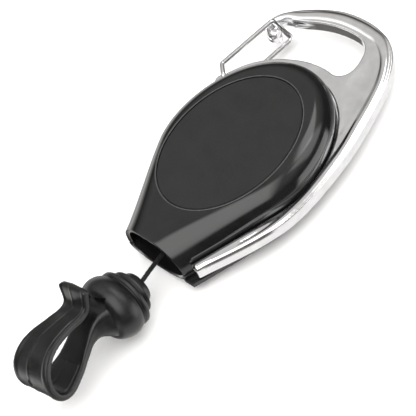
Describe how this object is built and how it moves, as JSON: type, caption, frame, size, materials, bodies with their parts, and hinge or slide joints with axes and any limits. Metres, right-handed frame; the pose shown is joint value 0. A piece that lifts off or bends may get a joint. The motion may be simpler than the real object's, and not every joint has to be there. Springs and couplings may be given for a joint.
{
  "type": "retractable badge reel",
  "caption": "Retractable cord reel in a teardrop case with a chrome carabiner frame, a sprung wire gate, and a swivelling moulded gripper clip on the cord.",
  "frame": {"origin": "spool axis where it meets the flat back of the case", "axes": "+Z out of the label face, +Y towards the hook, -Y towards the cord mouth, +X towards the frame's spine"},
  "size_m": [0.0493, 0.1312, 0.0246],
  "materials": {
    "case": "moulded high gloss",
    "label": "fine matte texture",
    "frame": "bright plate",
    "gate": "drawn wire",
    "steel": "zinc plated",
    "spring": "blued strip",
    "reel": "acetal",
    "cord": "braided",
    "clip": "satin moulded"
  },
  "bodies": {
    "housing": {"front_shell": "case", "rear_shell": "case", "front_label": "label", "carabiner_frame": "frame", "spool_axle": "steel", "shell_screw_1": "steel", "shell_screw_2": "steel", "shell_screw_3": "steel", "thrust_washer": "steel", "retaining_ring": "spring", "power_spring": "spring", "cord_guide": "reel"},
    "spool": {"spool": "reel", "spring_cover": "reel", "cord_winding": "cord"},
    "gate": {"wire_gate": "gate"},
    "cord": {"cord_run": "cord", "cord_knot": "cord"},
    "clip": {"swivel_collar": "clip", "clip_body": "clip"},
    "arm": {"clip_arm": "clip"}
  },
  "joints": [
    {"name": "cord_pull", "type": "slide", "parent": "housing", "child": "cord", "axis": [0, -1, 0], "range_m": [-0.0084, 0.7], "stiffness_N_per_m": 1.2, "springref_m": -0.4, "deforming": ["cord_run"]},
    {"name": "spool_spin", "type": "hinge", "parent": "housing", "child": "spool", "pos_m": [0, 0, 0.008], "axis": [0, 0, 1], "range_deg": [-3300, 60], "deforming": ["power_spring"]},
    {"name": "gate_swing", "type": "hinge", "parent": "housing", "child": "gate", "pos_m": [-0.0205, 0.0162, 0.007], "axis": [0, 0, -1], "range_deg": [0, 25], "stiffness_Nm_per_rad": 0.08, "springref_deg": -8.59},
    {"name": "clip_swivel", "type": "hinge", "parent": "cord", "child": "clip", "pos_m": [0.0031, -0.0438, 0.008], "axis": [0.0477, -0.9759, 0.213], "continuous": true},
    {"name": "arm_flex", "type": "hinge", "parent": "clip", "child": "arm", "pos_m": [0.00481, -0.07874, 0.01563], "axis": [0.9688, 0.0972, 0.2281], "range_deg": [0, 12], "stiffness_Nm_per_rad": 0.12, "springref_deg": -5.73}
  ],
  "couplings": [
    {"joint": "spool_spin", "follows": "cord_pull", "rad_per_m": -78}
  ]
}
